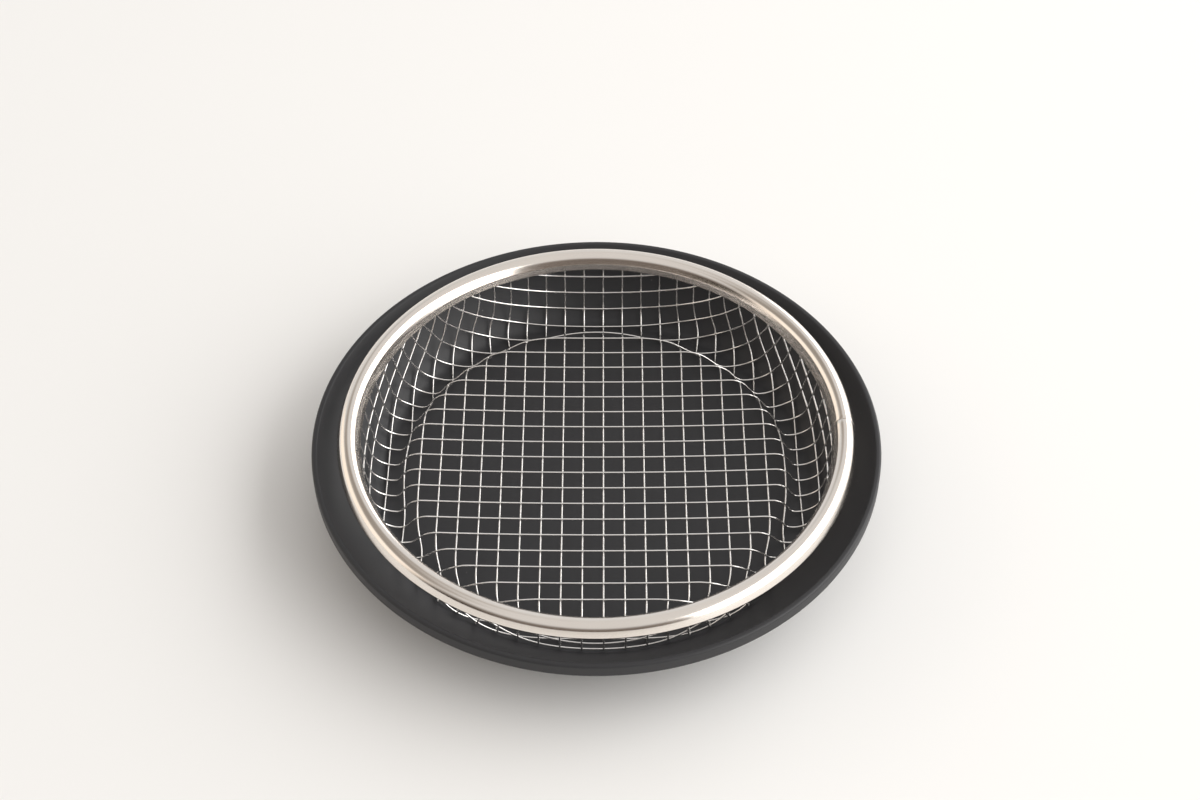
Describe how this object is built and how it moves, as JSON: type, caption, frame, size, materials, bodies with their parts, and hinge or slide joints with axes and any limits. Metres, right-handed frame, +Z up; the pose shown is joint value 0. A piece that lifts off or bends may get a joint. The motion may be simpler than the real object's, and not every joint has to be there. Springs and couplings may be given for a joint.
{
  "type": "plate strainer",
  "caption": "Round pressed tray of square welded wire mesh with a rolled rim, standing in a dark round dish with a flat well and a wide sloping side.",
  "frame": {"origin": "on the table under the middle of the plate", "axes": "+Z up along the common axis of the plate, the mesh tray and the rim; +X and +Y along the two ways of the mesh; the rim's seam lies near +X"},
  "size_m": [0.2198, 0.2198, 0.0396],
  "materials": {
    "mesh_wire": "bright drawn stainless wire, spot-welded at its crossings",
    "rim_steel": "satin rolled stainless tube",
    "plate_black": "fine-grained matte black with a slightly smoother lip"
  },
  "bodies": {
    "root": {"cross_wire_01": "mesh_wire", "cross_wire_02": "mesh_wire", "cross_wire_03": "mesh_wire", "cross_wire_04": "mesh_wire", "cross_wire_05": "mesh_wire", "cross_wire_06": "mesh_wire", "cross_wire_07": "mesh_wire", "cross_wire_08": "mesh_wire", "cross_wire_09": "mesh_wire", "cross_wire_10": "mesh_wire", "cross_wire_11": "mesh_wire", "cross_wire_12": "mesh_wire", "cross_wire_13": "mesh_wire", "cross_wire_14": "mesh_wire", "cross_wire_15": "mesh_wire", "cross_wire_16": "mesh_wire", "cross_wire_17": "mesh_wire", "cross_wire_18": "mesh_wire", "cross_wire_19": "mesh_wire", "cross_wire_20": "mesh_wire", "cross_wire_21": "mesh_wire", "cross_wire_22": "mesh_wire", "cross_wire_23": "mesh_wire", "cross_wire_24": "mesh_wire", "cross_wire_25": "mesh_wire", "cross_wire_26": "mesh_wire", "cross_wire_27": "mesh_wire", "cross_wire_28": "mesh_wire", "line_wire_01": "mesh_wire", "line_wire_02": "mesh_wire", "line_wire_03": "mesh_wire", "line_wire_04": "mesh_wire", "line_wire_05": "mesh_wire", "line_wire_06": "mesh_wire", "line_wire_07": "mesh_wire", "line_wire_08": "mesh_wire", "line_wire_09": "mesh_wire", "line_wire_10": "mesh_wire", "line_wire_11": "mesh_wire", "line_wire_12": "mesh_wire", "line_wire_13": "mesh_wire", "line_wire_14": "mesh_wire", "line_wire_15": "mesh_wire", "line_wire_16": "mesh_wire", "line_wire_17": "mesh_wire", "line_wire_18": "mesh_wire", "line_wire_19": "mesh_wire", "line_wire_20": "mesh_wire", "line_wire_21": "mesh_wire", "line_wire_22": "mesh_wire", "line_wire_23": "mesh_wire", "line_wire_24": "mesh_wire", "line_wire_25": "mesh_wire", "line_wire_26": "mesh_wire", "line_wire_27": "mesh_wire", "line_wire_28": "mesh_wire", "plate": "plate_black", "rim_ring": "rim_steel"}
  },
  "joints": []
}
